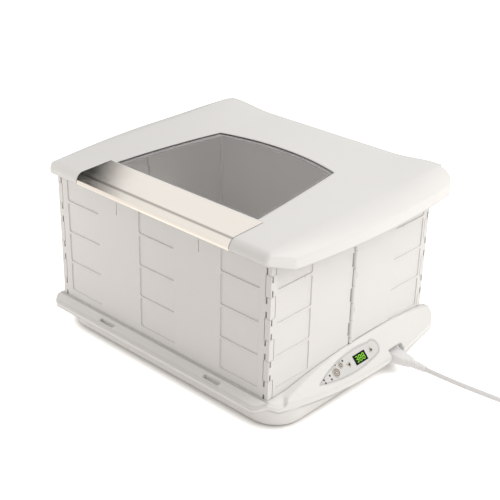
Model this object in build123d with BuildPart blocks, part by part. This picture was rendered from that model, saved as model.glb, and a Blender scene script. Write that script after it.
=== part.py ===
"""Folding dough proofer: heated base, folding walls and a lid with a window (mm, +Z up, front at -Y)."""
import os
from math import cos, pi, radians, sin, sqrt, tan

from build123d import *

# ---------------------------------------------------------------- driving dimensions
gap = 0.3                       # running gap between pieces of different bodies
touch_gap = 0.2                 # seat gap under a piece that lifts off
skin = 2.8                      # wall of the moulded shells

# overall plan
base_half_x = 228.5             # base and lid, at the middle of their bowed short sides
base_half_y = 184.0

# folding wall box
wall_margin = (31.0, 21.5)      # base beyond the walls, on X and on Y
half_wall_x = base_half_x - wall_margin[0]
half_wall_y = base_half_y - wall_margin[1]
wall_t = 5.5                    # thickness of every wall
wall_height = 205.0
ledge_z = 47.3                  # the walls stand here
wall_bottom = ledge_z + touch_gap
wall_top = wall_bottom + wall_height

# hinges
pin_r = 1.0
pin_hole_r = 1.05
loose_hole_r = 1.3              # clearance of the pivot that is left open
corner_inset = wall_t + gap     # corner hinge axis, in from both outer faces
corner_barrel_r = 2.4
corner_knuckles = 7
hinge_notch_gap = 0.8           # visible line between a knuckle and the next wall
knuckle_end_gap = 0.4
centre_barrel_r = 2.8
centre_knuckles = 8
slot_width = 2.6
short_slot = 8.5
long_slot = 20.0
slot_depth = 2.6
slot_end = 0.6
slot_inset = 5.4                # corner slots on the long faces, in from the corner
side_slot_inset = 1.8           # corner slots on the short faces
centre_slot_y = 3.2
pin_end = 0.6
arm_gap = 0.3                   # half the gap between the two half panels

# recessed pattern on the outer faces
pattern_columns_long = ((19.5 - half_wall_x, 84.5 - half_wall_x), (-33.0, 33.0),
                        (half_wall_x - 82.5, half_wall_x - 17.5))
pattern_column_side = (half_wall_y - 76.5, half_wall_y - 12.5)
pattern_first_z = wall_bottom + 12.9
pattern_rows = 4
pattern_pitch = (wall_height - 19.4) / pattern_rows
pattern_ridge = 3.0
pattern_depth = 1.4
pattern_r = 3.0
tick_height = 17.0
tick_width = 1.2
tick_depth = 0.8
tick_z = wall_top - 22.5
tick_place_x = 76.5
side_tick_z = wall_top - 38.5
side_tick_y = half_wall_y - 61.0

# base plan and section
base_front_corner = (base_half_x - 16.5, base_half_y - 26.0)
base_rear_corner = (base_half_x - 8.5, base_half_y - 18.0)
base_diagonal_x = base_half_x - 34.5
base_corner_r = 14.0
base_floor = 3.0                # underside of the base shell and pan
lip_top = ledge_z + 3.3         # raised lip round the wall box
lip_width = 2.6
groove_width = 1.4
groove_depth = 0.9
groove_x = base_half_x - 26.5
flange_edge_z = ledge_z - 1.8   # flange top at the long edges
side_edge_z = ledge_z - 18.8    # flange top at the short sides
roof_start_x = base_half_x - 25.5
roof_r = 11.0
flange_t = 7.5
bead_width = 3.2                # fine step along the flange edge
bead_step = 0.6
foot_corner_r = 42.0
foot_top_half_x = base_half_x - 7.5     # underbody below the flange
foot_top_half_y = base_half_y - 11.0
foot_low_half_x = base_half_x - 19.5    # underbody at the bottom
foot_low_half_y = base_half_y - 30.0
latch_slots = ((-103.0, -75.5), (99.5, 127.0))
latch_slot_y = (base_half_y - 6.5, base_half_y - 11.4)
latch_floor_z = ledge_z - 4.3
boss_x = base_half_x - 33.0
boss_y = base_half_y - 66.0
boss_r = 3.6
screw_r = 1.5
screw_head_r = 2.9
screw_head_t = 1.8
screw_length = 14.0
pan_t = 2.4
pan_corner_r = 43.0
foot_x = base_half_x - 46.5
foot_y = base_half_y - 58.0
foot_r = 10.0
foot_stem_r = 3.0
vent_count = 9
vent_pitch = 8.0
vent_size = (3.0, 34.0)
vent_row_pitch = foot_low_half_y / 1.5

# control housing on the +X side
hump_top_z = ledge_z + 16.7
hump_front_y = 44.0 - base_half_y
hump_toe_y = hump_front_y - 22.0        # where its front end has run down to the side edge
hump_peak_y = 18.0
hump_rear_y = base_half_y - 12.0
hump_front_z = ledge_z + 1.7
hump_rear_z = ledge_z + 7.7
slope_edge_z = side_edge_z + 1  # lower end of the slope, above the side edge of the base

# control panel on the slope: positions are along Y and down from the slope's upper edge
leaf_tip = (-84.0, 27.0)
leaf_shoulder = (30.0, 11.0)
leaf_heel = (39.0, 31.5)
leaf_upper_mid = (-24.0, 10.6)
leaf_end_mid = (45.5, 20.5)
leaf_lower_mid = (-10.0, 37.4)
panel_margin = 4.5              # rim of the shell under the overlay
overlay_t = 1.2
display_place = (4.0, 24.2)
display_size = (25.0, 13.4)
digit_height = 7.6
digit_width = 4.0
digit_pitch = 6.6
segment_t = 0.9
power_place = (-46.6, 24.6)
power_r = 6.4
light_place = (-34.0, 19.2)
light_r = 4.2
up_place = (28.0, 22.6)
down_place = (-19.8, 24.4)
arrow_r = 4.6                   # circle round a triangular key
key_travel = 0.8
key_proud = 0.5
key_rim = 1.0                   # hidden flange that keeps a key in
key_rim_t = 0.9
key_stem_r = 1.8
lamp_r = 1.1
lamp_places = ((-27.8, 15.6), (-42.8, 15.6), (-59.6, 23.4), (-59.4, 28.8), (-72.2, 24.4), (-71.6, 28.9))
board_depth = 8.6               # control board below the slope
board_t = 1.6
board_low = (-92.0, 16.6)
board_high = (50.0, 32.0)
standoff_r = 2.0
standoff_places = ((-88.5, 24.0), (46.5, 24.0))
switch_size = 4.5
switch_t = 1.6
plunger_r = 1.2
plunger_t = 0.8
key_corner_r = 0.5

# mains inlet, connector and cord
inlet_y = 71.7
inlet_half_y = 14.0
inlet_low_z = 12.6
inlet_high_z = 36.2
inlet_back_x = base_half_x - 39.5
inlet_face_x = base_half_x - 17.5
socket_y = 12.6
socket_z = (15.2, 31.8)
socket_depth = 16.0
prong_size = (14.0, 2.0, 4.0)
prong_pitch = 7.0
plug_z = 23.5
nose_size = (13.0, 24.0, 15.4)
connector_length = 34.7
connector_start = (24.6, 14.6)
connector_end = (18.0, 12.0)
connector_edge_r = 3.0
collar_length = 5.0
collar_size = (14.0, 11.6)
relief_length = 23.0
relief_r = (6.4, 5.0)
relief_ribs = 5
relief_groove_r = 1.1
cord_r = 3.5
cord_z = cord_r + 0.1           # centre line of a cord that lies on the floor
cord_route = ((base_half_x + 71.5, inlet_y, plug_z), (base_half_x + 101.5, 75, 22.4),
              (base_half_x + 133.5, 81.5, 20), (base_half_x + 163.5, 90, 16.5),
              (base_half_x + 191.5, 100, 11.5), (base_half_x + 217.5, 113, 6.5),
              (base_half_x + 241.5, 128, cord_z))
coil_centre = (base_half_x + 243.5, 183.0)
coil_r = 40.0                   # middle of the ring
coil_width = 26.0
coil_height = 14.5
coil_edge_r = 4.0
tie_t = 1.0
tie_width = 6.0
tie_bearing = 200.0
coil_entry = -60.0              # bearings of the cord's ends on the ring, in degrees
coil_exit = 20.0
bend_share = 0.45               # of the shorter run, taken up by a bend
lead_route = ((base_half_x + 271.5, 226.0, 11.0), (base_half_x + 259.5, 255.0, 11.2),
              (base_half_x + 241.0, 279.5, 12.2))
lead_z = 11.6                   # height at which the lead leaves the coil
mains_plug_end = (base_half_x + 220.5, 300.0, 12.2)
mains_plug_bearing = 135.0
mains_plug_neck = (12.0, 12.0)
mains_plug_size = (26.0, 24.0)
mains_plug_taper = 14.0
mains_plug_length = 20.0
mains_plug_edge_r = 4.0
blade_size = (1.5, 6.3, 16.0)
blade_x = 6.35
blade_y = 5.5
ground_y = -6.4
ground_r = 2.4

# power board beside the well
power_board_low = (base_half_x - 40.0, 8.0 - boss_y)
power_board_high = (base_half_x - 26.0, -8.0)
power_board_length = power_board_high[1] - power_board_low[1]
power_board_z = 8.0
power_board_t = 1.6
transformer_size = (11.0, 26.0, 20.0)
transformer_y = power_board_low[1] + 0.216 * power_board_length
relay_size = (11.0, 18.0, 14.0)
relay_y = power_board_low[1] + 0.53 * power_board_length
capacitor_r = 5.0
capacitor_height = 16.0
capacitor_y = power_board_low[1] + 0.784 * power_board_length

# numerals in the display
shown_digits = "388"
digit_bars = {"3": "abgcd", "8": "abcdefg"}
# place of each bar, in half widths across and quarter heights up
bar_places = {"a": (0, 2), "b": (1, 1), "c": (1, -1), "d": (0, -2), "e": (-1, -1), "f": (-1, 1), "g": (0, 0)}
digit_depth = 0.4
segment_gap = 0.3

# well, heater and what stands in it
well_half_x = half_wall_x - 14.5
well_half_y = half_wall_y - 15.5
well_r = 12.0
well_floor = 14.5
well_flange = 9.0
heater_t = 2.0
element_t = 0.8
insulation_t = 7.0
sensor_r = 2.5
sensor_height = 8.5
sensor_place = (96.0, -40.0)
cutoff_r = 8.0
cutoff_height = 5.0
cutoff_place = (-40.0, 30.0)

# rack and tray
rack_half_x = well_half_x - 7.0
rack_half_y = well_half_y - 11.5
rack_wire_r = 2.0
rack_rod_r = 1.3
rack_top_z = ledge_z - 3.3
rack_rods = 19
rack_rod_pitch = 2 * rack_half_x / (rack_rods + 1)
rack_corner_r = 14.0
rack_leg_r = 1.7
rack_bite = 0.3                 # how far rods and frame are pressed together at each weld
rack_leg_x = 120.0
tray_half_x = 80.0
tray_half_y = 52.0
tray_height = 14.0
tray_wall = 1.0
tray_r = 12.0
tray_draft = 4.0
tray_rim = 3.0

# lid
lid_half_x = base_half_x
lid_bow = 10.0                  # how much narrower the lid is at 150 mm from its widest place
lid_bow_reach = 150.0
lid_bow_y = 30.0
lid_front_corner_y = 44.0 - base_half_y
lid_rear_corner_y = base_half_y - 8.0
lid_front_y = 8.6 - base_half_y
lid_front_diagonal_x = lid_half_x - 29.5
lid_rear_y = base_half_y
lid_rear_diagonal_x = lid_half_x - 17.5
lid_corner_r = 8.0
lid_blend_r = 6.0
lid_skirt_z = wall_top - 22.0   # lower edge at the sides and rear
lid_front_z = wall_top - 11.5   # lower edge at the front
lid_front_rise_y = (lid_front_y + 1.4, lid_front_y + 34.4)
lid_t = 3.0
# top surface above the front roll, at mid depth and at the rear edge
lid_top_front_z = wall_top + 3.5
lid_top_mid_y = 10.0
lid_top_mid_z = wall_top + 8.8
lid_top_rear_z = wall_top + 7.5
lid_roll_r = 12.4
lid_horn = 5.6                  # rise of the rear corners
lid_horn_x = (lid_half_x - 116.5, lid_half_x - 46.5)
lid_horn_y = (50.0, lid_rear_y)
lid_sections = 17               # cross-sections the top is drawn through, from end to end
lid_section_y = (lid_front_y - 4.6, lid_rear_y + 4.0)
lid_shoulder_x = lid_half_x - 32.5      # where the top starts to fall to the skirt
lid_fall = 13.5
lid_fall_shares = (0.0, 0.6, 1.1)
lid_horn_fall = 6.0             # more of it at the rear corners

# window
window_front_y = -113.4
window_front_x = 129.6
window_rear_x = 106.0
window_rear_y = 63.5
window_bulge_y = 81.0
window_side_bow = 2.0
window_corner_r = 2.0
gasket_t = 1.3
gasket_drop = 0.3
window_drop = 1.0               # pane top below the lid surface
window_t = 2.0
frame_lap = 7.0                 # inner frame beyond the opening
frame_lip = 4.0                 # inner frame inside the opening
frame_t = 2.0
frame_screw_r = 1.2
frame_screw_head_r = 2.2
frame_screw_head_t = 1.0
frame_screw_bite = 1.8
frame_screws = 8
seat_clearance = 0.05
frame_gap = 0.15                # lid to inner frame
head_gap = 0.1                  # inner frame to screw heads

# steel trim on the lid's front
trim_half_x = 140.0
trim_t = 0.8
trim_rear_y = -114.4

# ---------------------------------------------------------------- places worked out from the sizes
lip_outer_y = half_wall_y + gap + lip_width
groove_y = lip_outer_y + groove_width
hump_inner_x = half_wall_x + gap
pan_top_z = base_floor + pan_t
screw_top_z = base_floor + screw_length
boss_places = [(x, y) for x in (-boss_x, boss_x) for y in (-boss_y, 0, boss_y)]
slope_run = base_half_x - hump_inner_x
slope_fall = hump_top_z - slope_edge_z
panel_plane = Plane(origin=(hump_inner_x, 0, hump_top_z), x_dir=(0, 1, 0), z_dir=(slope_fall, 0, slope_run))

os.makedirs("parts", exist_ok=True)


def keep(name, part):
    """Label a finished piece and write it to its own STEP file."""
    part.label = name
    export_step(part, f"parts/{name}.step")


def brick(a, b, mode=Mode.ADD):
    """A box between two opposite corners, added to or cut from the open part."""
    size = [abs(a[i] - b[i]) for i in range(3)]
    middle = [(a[i] + b[i]) / 2 for i in range(3)]
    with Locations(tuple(middle)):
        Box(*size, mode=mode)


def rod(radius, centre, z_low, z_high, mode=Mode.ADD):
    """An upright cylinder, added to or cut from the open part."""
    with Locations((centre[0], centre[1], (z_low + z_high) / 2)):
        Cylinder(radius, z_high - z_low, mode=mode)


def leaf(inset=0.0):
    """Leaf-shaped outline of the control overlay, on the slope."""
    with BuildSketch() as outline:
        with BuildLine():
            points = [(y, -s) for y, s in (leaf_tip, leaf_upper_mid, leaf_shoulder, leaf_end_mid,
                                           leaf_heel, leaf_lower_mid)]
            ThreePointArc(points[0], points[1], points[2])
            ThreePointArc(points[2], points[3], points[4])
            ThreePointArc(points[4], points[5], points[0])
        make_face()
        if inset:
            offset(amount=-inset, kind=Kind.INTERSECTION)
    return outline.sketch


lamp_points = [(y, -s) for y, s in lamp_places]
# place, radius, and the way a triangular key points
keys = {
    "power_button": (power_place, power_r, None),
    "light_button": (light_place, light_r, None),
    "up_button": (up_place, arrow_r, 90),
    "down_button": (down_place, arrow_r, -90),
}


def key_plan(name, grow=0.0):
    """Outline of a key on the slope: two keys are round and two are triangular."""
    (y, s), radius, bearing = keys[name]
    with BuildSketch() as plan:
        with Locations((y, -s)):
            if bearing is None:
                Circle(radius + grow)
            else:
                RegularPolygon(radius + 2 * grow, 3, rotation=bearing)
                fillet(plan.vertices(), key_corner_r)
    return plan.sketch


# ---------------------------------------------------------------- base shell
def base_outline(inset=0.0):
    """Plan of the base: straight long sides, bowed short sides, cut corners."""
    half_x, half_y = base_half_x - inset, base_half_y - inset
    diagonal_x = base_diagonal_x - inset / 2
    front_x, front_y = base_front_corner[0] - inset, -base_front_corner[1]
    rear_x, rear_y = base_rear_corner[0] - inset, base_rear_corner[1]
    with BuildSketch() as plan:
        with BuildLine():
            for end in (-1, 1):
                ThreePointArc((end * front_x, front_y), (end * half_x, 0), (end * rear_x, rear_y))
                Line((end * front_x, front_y), (end * diagonal_x, -half_y))
                Line((end * rear_x, rear_y), (end * diagonal_x, half_y))
            Line((-diagonal_x, -half_y), (diagonal_x, -half_y))
            Line((-diagonal_x, half_y), (diagonal_x, half_y))
        make_face()
        fillet(plan.vertices(), base_corner_r)
    return plan.sketch


def base_crown(inset=0.0, drop=0.0):
    """Everything under the top surface: flat in the middle, falling to all four edges."""
    side_slope = (lip_top - side_edge_z) / (base_half_x - roof_start_x)
    edge_x = base_half_x + 1
    edge_z = side_edge_z - side_slope - drop
    with BuildPart() as crown:
        with BuildSketch(Plane.XY.offset(base_floor)):
            add(base_outline(inset))
        extrude(amount=lip_top)
        with BuildSketch(Plane.XZ) as roof:
            with BuildLine():
                Polyline((-edge_x, 0), (edge_x, 0), (edge_x, edge_z), (roof_start_x, lip_top - drop),
                         (-roof_start_x, lip_top - drop), (-edge_x, edge_z), close=True)
            make_face()
            fillet(roof.vertices().sort_by(Axis.Y)[-2:], roof_r)
        extrude(amount=base_half_y + 1, both=True, mode=Mode.INTERSECT)
        with BuildSketch(Plane.YZ):
            with BuildLine():
                Polyline((-base_half_y, 0), (base_half_y, 0), (base_half_y, flange_edge_z - drop),
                         (groove_y, lip_top - drop), (-groove_y, lip_top - drop),
                         (-base_half_y, flange_edge_z - drop), close=True)
            make_face()
        extrude(amount=edge_x, both=True, mode=Mode.INTERSECT)
    return crown.part


def hump(inset=0.0):
    """Control housing: a slope along the +X side under an arched top."""
    slope = slope_fall / slope_run
    sunk = inset * sqrt(1 + slope ** 2)
    inner_x = hump_inner_x + inset
    with BuildPart() as housing:
        with BuildSketch(Plane.XY.offset(base_floor)):
            add(base_outline(inset))
        extrude(amount=hump_top_z)
        with BuildSketch(Plane.XZ):
            with BuildLine():
                Polyline((inner_x, base_floor), (base_half_x, base_floor), (base_half_x, slope_edge_z - sunk),
                         (inner_x, hump_top_z - sunk - inset * slope), close=True)
            make_face()
        extrude(amount=base_half_y, both=True, mode=Mode.INTERSECT)
        with BuildSketch(Plane.YZ):
            front = (hump_front_y + inset, hump_front_z - inset)
            rear = (hump_rear_y - inset, hump_rear_z - inset)
            with BuildLine():
                ThreePointArc(front, (hump_peak_y, hump_top_z - inset), rear)
                Polyline(rear, (rear[0], base_floor), (hump_toe_y + inset, base_floor),
                         (hump_toe_y + inset, side_edge_z - inset), front)
            make_face()
        extrude(amount=base_half_x + 1, both=True, mode=Mode.INTERSECT)
    return housing.part


def underbody(inset=0.0):
    """Tapered body under the flange."""
    with BuildPart() as body:
        for z, half_x, half_y in ((base_floor, foot_low_half_x, foot_low_half_y),
                                  (lip_top, foot_top_half_x, foot_top_half_y)):
            with BuildSketch(Plane.XY.offset(z)):
                RectangleRounded(2 * (half_x - inset), 2 * (half_y - inset), foot_corner_r)
        loft()
    return body.part


crown = base_crown()
crown_under_flange = base_crown(drop=flange_t)
with BuildPart() as core:
    add(underbody())
    add(crown_under_flange, mode=Mode.INTERSECT)
with BuildPart() as cavity:
    add(underbody(inset=skin))
    add(base_crown(drop=skin), mode=Mode.INTERSECT)
    brick((-base_half_x, -base_half_y, ledge_z - skin), (base_half_x, base_half_y, 2 * lip_top), Mode.SUBTRACT)
with BuildPart() as housing_cavity:
    add(hump(inset=skin))
    add(underbody(inset=skin), mode=Mode.INTERSECT)
with BuildPart() as edge_step:
    add(crown)
    add(base_crown(drop=bead_step), mode=Mode.SUBTRACT)
    add(base_crown(inset=bead_width), mode=Mode.SUBTRACT)

with BuildPart() as base_shell:
    add(crown)
    add(edge_step.part, mode=Mode.SUBTRACT)
    add(hump())
    add(crown_under_flange, mode=Mode.SUBTRACT)
    add(core.part)
    add(cavity.part, mode=Mode.SUBTRACT)
    add(housing_cavity.part, mode=Mode.SUBTRACT)
    # seat of the wall box and the groove outside the lip
    brick((-half_wall_x - gap, -half_wall_y - gap, ledge_z),
          (half_wall_x + gap, half_wall_y + gap, 2 * lip_top),
          Mode.SUBTRACT)
    for side in (-1, 1):
        brick((-groove_x, side * lip_outer_y, lip_top - groove_depth), (groove_x, side * groove_y, 2 * lip_top),
              Mode.SUBTRACT)
    # well: a tub hanging from the ledge, with a flange that carries the heater plate
    brick((-well_half_x - skin, -well_half_y - skin, well_floor - skin),
          (well_half_x + skin, well_half_y + skin, ledge_z))
    with BuildSketch(Plane.XY.offset(well_floor)):
        RectangleRounded(2 * well_half_x, 2 * well_half_y, well_r)
    extrude(amount=ledge_z, mode=Mode.SUBTRACT)
    with BuildSketch(Plane.XY.offset(base_floor)):
        RectangleRounded(2 * (well_half_x - well_flange), 2 * (well_half_y - well_flange), well_r)
    extrude(amount=ledge_z, mode=Mode.SUBTRACT)
    # latch slots in both long flanges
    for side in (-1, 1):
        for x_low, x_high in latch_slots:
            brick((x_low, side * latch_slot_y[0], latch_floor_z), (x_high, side * latch_slot_y[1], lip_top),
                  Mode.SUBTRACT)
    # recess for the mains inlet and the connector
    brick((inlet_back_x, inlet_y - inlet_half_y - gap, inlet_low_z - gap),
          (base_half_x + 5, inlet_y + inlet_half_y + gap, inlet_high_z + gap), Mode.SUBTRACT)
    # opening under the control panel, wells of the keys and lamps, and the overlay's recess
    with BuildSketch(panel_plane):
        add(leaf(panel_margin))
        for name in keys:
            add(key_plan(name, key_rim + gap))
        with Locations(*lamp_points):
            Circle(lamp_r + gap)
    extrude(amount=-2 * skin, mode=Mode.SUBTRACT)
    with BuildSketch(panel_plane):
        add(leaf(-gap / 2))
    extrude(amount=-overlay_t, mode=Mode.SUBTRACT)
    # screw bosses
    for x, y in boss_places:
        rod(boss_r, (x, y), pan_top_z, ledge_z - skin / 2)
        rod(screw_r, (x, y), pan_top_z - 1, screw_top_z + gap, Mode.SUBTRACT)
keep("base_shell", base_shell.part)

# ---------------------------------------------------------------- pan, feet and base screws
with BuildPart() as base_pan:
    with BuildSketch(Plane.XY.offset(base_floor)):
        RectangleRounded(2 * (foot_low_half_x - skin - gap), 2 * (foot_low_half_y - skin - gap), pan_corner_r)
    extrude(amount=pan_t)
    for x, y in boss_places:
        rod(screw_r + gap / 4, (x, y), 0, 2 * pan_top_z, Mode.SUBTRACT)
        rod(screw_head_r + gap / 4, (x, y), 0, base_floor + screw_head_t, Mode.SUBTRACT)
    with Locations(*[(x, y) for x in (-foot_x, foot_x) for y in (-foot_y, foot_y)]):
        Cylinder(foot_stem_r + pin_hole_r - pin_r, 4 * pan_top_z, mode=Mode.SUBTRACT)
    with BuildSketch():
        with GridLocations(vent_pitch, vent_row_pitch, vent_count, 2):
            SlotOverall(vent_size[1], vent_size[0], rotation=90)
    extrude(amount=2 * pan_top_z, mode=Mode.SUBTRACT)
keep("base_pan", base_pan.part)

with BuildPart() as rubber_feet:
    for x in (-foot_x, foot_x):
        for y in (-foot_y, foot_y):
            rod(foot_r, (x, y), 0, base_floor)
            rod(foot_stem_r, (x, y), 0, pan_top_z)
keep("rubber_feet", rubber_feet.part)

with BuildPart() as base_screws:
    for place in boss_places:
        rod(screw_head_r, place, base_floor, base_floor + screw_head_t)
        rod(screw_r - gap / 10, place, base_floor, screw_top_z)
keep("base_screws", base_screws.part)

# ---------------------------------------------------------------- heater in the well
with BuildPart() as heater_plate:
    with BuildSketch(Plane.XY.offset(well_floor)):
        RectangleRounded(2 * (well_half_x - gap), 2 * (well_half_y - gap), well_r - gap)
    extrude(amount=heater_t)
keep("heater_plate", heater_plate.part)

element_half_x = well_half_x - well_flange - 3
element_half_y = well_half_y - well_flange - 3
with BuildPart() as heating_element:
    with BuildSketch(Plane.XY.offset(well_floor)):
        RectangleRounded(2 * element_half_x, 2 * element_half_y, well_r)
    extrude(amount=-element_t)
    rod(sensor_r + gap, sensor_place, 0, well_floor, Mode.SUBTRACT)
    rod(cutoff_r + gap, cutoff_place, 0, well_floor, Mode.SUBTRACT)
keep("heating_element", heating_element.part)

with BuildPart() as insulation_pad:
    with BuildSketch(Plane.XY.offset(well_floor - element_t)):
        RectangleRounded(2 * element_half_x, 2 * element_half_y, well_r)
    extrude(amount=-insulation_t)
    rod(sensor_r + gap, sensor_place, 0, well_floor, Mode.SUBTRACT)
    rod(cutoff_r + gap, cutoff_place, 0, well_floor, Mode.SUBTRACT)
keep("insulation_pad", insulation_pad.part)

with BuildPart() as temperature_sensor:
    rod(sensor_r, sensor_place, well_floor - sensor_height, well_floor)
keep("temperature_sensor", temperature_sensor.part)

with BuildPart() as thermal_cutoff:
    rod(cutoff_r, cutoff_place, well_floor - cutoff_height, well_floor)
    rod(cutoff_r / 2, cutoff_place, well_floor - sensor_height, well_floor)
keep("thermal_cutoff", thermal_cutoff.part)

# ---------------------------------------------------------------- wire rack and water tray
plate_top = well_floor + heater_t
rack_frame_z = rack_top_z - 2 * rack_rod_r - rack_wire_r + rack_bite
with BuildPart() as wire_rack:
    with BuildLine(Plane.XY.offset(rack_frame_z)) as loop:
        FilletPolyline((-rack_half_x, -rack_half_y), (rack_half_x, -rack_half_y), (rack_half_x, rack_half_y),
                       (-rack_half_x, rack_half_y), close=True, radius=rack_corner_r)
    with BuildSketch(Plane(origin=loop.line @ 0, z_dir=loop.line % 0)):
        Circle(rack_wire_r)
    sweep()
    rod_z = rack_top_z - rack_rod_r
    for index in range(rack_rods):
        x = (index - (rack_rods - 1) / 2) * rack_rod_pitch
        with Locations(Location((x, 0, rod_z), (90, 0, 0))):
            Cylinder(rack_rod_r, 2 * rack_half_y)
    with Locations(Location((0, 0, rack_frame_z), (0, 90, 0))):
        Cylinder(rack_leg_r, 2 * rack_half_x)
keep("wire_rack", wire_rack.part)

with BuildPart() as rack_legs:
    for x in (-rack_leg_x, rack_leg_x):
        for side in (-1, 1):
            rod(rack_leg_r, (x, side * rack_half_y), plate_top + touch_gap, rack_frame_z)
    add(wire_rack.part, mode=Mode.SUBTRACT)
keep("rack_legs", rack_legs.part)

tray_low = plate_top + touch_gap
with BuildPart() as water_tray:
    for inset, low in ((0, tray_low), (tray_wall, tray_low + tray_wall)):
        with BuildSketch(Plane.XY.offset(low)):
            RectangleRounded(2 * (tray_half_x - tray_draft - inset),
                             2 * (tray_half_y - tray_draft - inset), tray_r)
        with BuildSketch(Plane.XY.offset(tray_low + tray_height)):
            RectangleRounded(2 * (tray_half_x - inset), 2 * (tray_half_y - inset), tray_r)
        loft(mode=Mode.SUBTRACT if inset else Mode.ADD)
    with BuildSketch(Plane.XY.offset(tray_low + tray_height - tray_wall)):
        RectangleRounded(2 * (tray_half_x + tray_rim), 2 * (tray_half_y + tray_rim), tray_r + tray_rim)
        RectangleRounded(2 * (tray_half_x - tray_wall), 2 * (tray_half_y - tray_wall), tray_r,
                         mode=Mode.SUBTRACT)
    extrude(amount=tray_wall)
keep("water_tray", water_tray.part)

# ---------------------------------------------------------------- folding walls
corner_block = corner_inset + corner_barrel_r
corner_notch = corner_block + hinge_notch_gap
corner_pitch = wall_height / corner_knuckles
centre_pitch = wall_height / centre_knuckles
corner_axis_x = half_wall_x - corner_inset
corner_axis_y = half_wall_y - corner_inset
centre_axis_x = half_wall_x + gap
centre_hinge_low = hump_top_z + 2 * gap


def rows(pitch, count, first):
    """Heights of every second hinge knuckle, open by half the end gap between neighbours."""
    for index in range(first, count, 2):
        low = wall_bottom + index * pitch + (knuckle_end_gap / 2 if index else 0)
        high = wall_bottom + (index + 1) * pitch - (knuckle_end_gap / 2 if index < count - 1 else 0)
        yield low, high


def recess_rows():
    """Heights of the recessed rectangles in a column."""
    for index in range(pattern_rows):
        low = pattern_first_z + index * pattern_pitch + pattern_ridge / 2
        yield low, low + pattern_pitch - pattern_ridge


def recess_column(plane, low, high, up):
    """Cut one column of rounded recesses into the face on the given plane."""
    with BuildSketch(plane) as recesses:
        for z_low, z_high in recess_rows():
            with Locations(((low + high) / 2, up * (z_low + z_high) / 2)):
                RectangleRounded(high - low, z_high - z_low, pattern_r)
    extrude(recesses.sketch, amount=-pattern_depth, mode=Mode.SUBTRACT)


def long_wall(side):
    """Front (side -1) or rear (side +1) wall with its hinge knuckles."""
    outer = side * half_wall_y
    inner = side * (half_wall_y - wall_t)
    with BuildPart() as wall:
        brick((-half_wall_x, outer, wall_bottom), (half_wall_x, inner, wall_top))
        for end in (-1, 1):
            edge = end * half_wall_x
            axis = (end * corner_axis_x, side * corner_axis_y)
            for low, high in rows(corner_pitch, corner_knuckles, 1):
                brick((edge, outer, low - knuckle_end_gap), (end * (half_wall_x - corner_notch), inner,
                                                             high + knuckle_end_gap), Mode.SUBTRACT)
            for low, high in rows(corner_pitch, corner_knuckles, 0):
                brick((edge, outer, low), (axis[0], side * (half_wall_y - corner_block), high))
                rod(corner_barrel_r, axis, low, high)
                for slot_low in (low + slot_end, high - slot_end - short_slot):
                    brick((end * (half_wall_x - slot_inset), outer, slot_low),
                          (end * (half_wall_x - slot_inset - slot_width), outer - side * slot_depth,
                           slot_low + short_slot), Mode.SUBTRACT)
            rod(pin_hole_r, axis, 0, 2 * wall_top, Mode.SUBTRACT)
            tick_x = end * tick_place_x
            brick((tick_x, outer, tick_z - tick_height),
                  (tick_x + tick_width, outer - side * tick_depth, tick_z),
                  Mode.SUBTRACT)
        face = Plane(origin=(0, outer, 0), x_dir=(1, 0, 0), z_dir=(0, side, 0))
        for low, high in pattern_columns_long:
            recess_column(face, low, high, -side)
    return wall.part


def half_panel(end, side, centre_first, corner_hole_r):
    """Half of a short wall: end is the X side, side is the Y side."""
    outer = end * half_wall_x
    inner = end * (half_wall_x - wall_t)
    far = side * half_wall_y
    corner_axis = (end * corner_axis_x, side * corner_axis_y)
    centre_axis = (end * centre_axis_x, 0)
    with BuildPart() as panel:
        brick((outer, side * arm_gap, wall_bottom), (inner, side * (half_wall_y - corner_notch), wall_top))
        for low, high in rows(centre_pitch, centre_knuckles, 1 - centre_first):
            brick((outer, 0, low - knuckle_end_gap * bool(low > wall_bottom)),
                  (inner, side * (centre_barrel_r + hinge_notch_gap), high + knuckle_end_gap), Mode.SUBTRACT)
        for low, high in rows(centre_pitch, centre_knuckles, centre_first):
            rod(centre_barrel_r, centre_axis, max(low, centre_hinge_low), high)
            slot = long_slot if centre_first else short_slot
            middle = (low + high) / 2
            brick((outer + end, side * centre_slot_y, middle - slot / 2),
                  (outer - end * slot_depth, side * (centre_slot_y + slot_width), middle + slot / 2),
                  Mode.SUBTRACT)
        for low, high in rows(corner_pitch, corner_knuckles, 1):
            brick((outer, far, low), (end * (half_wall_x - corner_block), corner_axis[1], high))
            brick((outer, far, low), (inner, side * (half_wall_y - corner_notch - 1), high))
            rod(corner_barrel_r, corner_axis, low, high)
            for slot_low in (low + slot_end, high - slot_end - short_slot):
                brick((outer, far - side * side_slot_inset, slot_low),
                      (outer - end * slot_depth, far - side * (side_slot_inset + slot_width),
                       slot_low + short_slot),
                      Mode.SUBTRACT)
        rod(corner_hole_r, corner_axis, 0, 2 * wall_top, Mode.SUBTRACT)
        rod(pin_hole_r, centre_axis, 0, 2 * wall_top, Mode.SUBTRACT)
        tick_y = side * side_tick_y
        brick((outer, tick_y, side_tick_z - tick_height),
              (outer - end * tick_depth, tick_y + tick_width, side_tick_z),
              Mode.SUBTRACT)
        face = Plane(origin=(outer, 0, 0), x_dir=(0, 1, 0), z_dir=(end, 0, 0))
        low, high = sorted(side * y for y in pattern_column_side)
        recess_column(face, low, high, end)
    return panel.part


front_wall = long_wall(-1)
rear_wall = long_wall(1)
keep("front_wall", front_wall)
keep("rear_wall", rear_wall)
for side_name, end in (("left", -1), ("right", 1)):
    for row_name, side in (("front", -1), ("rear", 1)):
        opened = side_name == "right" and row_name == "front"
        keep(f"{side_name}_{row_name}_panel",
             half_panel(end, side, 0 if side == 1 else 1, loose_hole_r if opened else pin_hole_r))

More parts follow.
